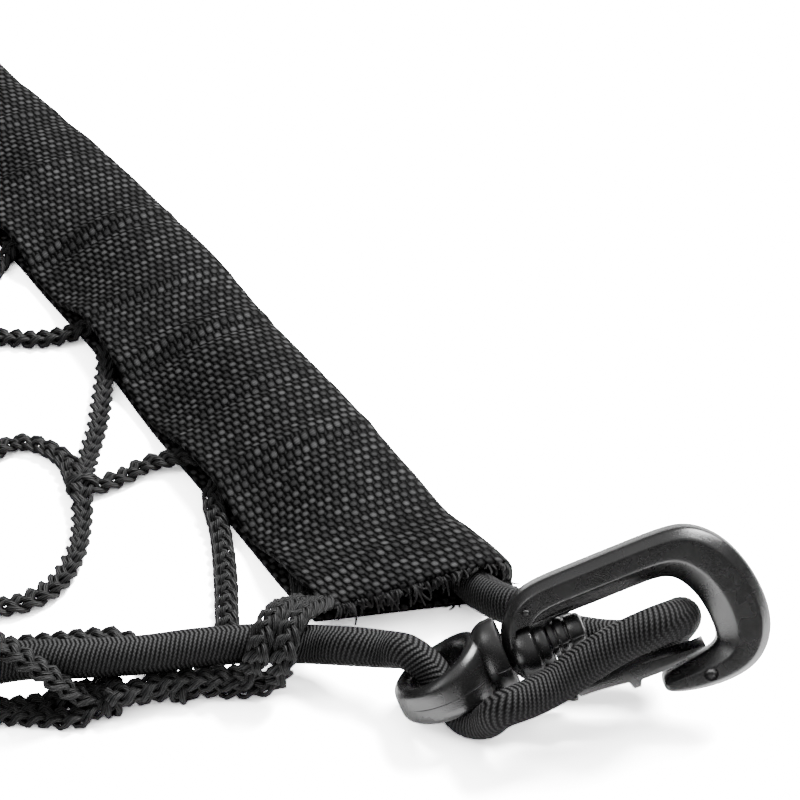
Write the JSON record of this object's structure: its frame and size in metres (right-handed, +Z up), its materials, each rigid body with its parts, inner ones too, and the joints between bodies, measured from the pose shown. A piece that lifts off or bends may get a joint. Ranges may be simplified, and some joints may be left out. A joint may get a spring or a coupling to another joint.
{
  "type": "cargo net",
  "caption": "Flat knotless cord net laced to an elastic edge cord, with folded webbing side sleeves and a swivel snap hook at each corner.",
  "frame": {"origin": "on the ground under the middle of the net", "axes": "+X across the net towards the right sleeve, +Y from the front edge to the back one, +Z up out of the net's upper side"},
  "size_m": [0.5468, 0.5926, 0.0375],
  "materials": {
    "net_cord": "matte plaited cord",
    "webbing": "plain woven webbing",
    "elastic": "ribbed elastic cord cover",
    "hook_plastic": "satin moulded"
  },
  "bodies": {
    "root": {"net": "net_cord", "sleeve_right": "webbing", "sleeve_left": "webbing", "elastic_cord": "elastic", "hook_front_right": "hook_plastic", "gate_front_right": "hook_plastic", "eye_front_right": "hook_plastic", "hook_front_left": "hook_plastic", "gate_front_left": "hook_plastic", "eye_front_left": "hook_plastic", "hook_back_right": "hook_plastic", "gate_back_right": "hook_plastic", "eye_back_right": "hook_plastic", "hook_back_left": "hook_plastic", "gate_back_left": "hook_plastic", "eye_back_left": "hook_plastic"}
  },
  "joints": []
}
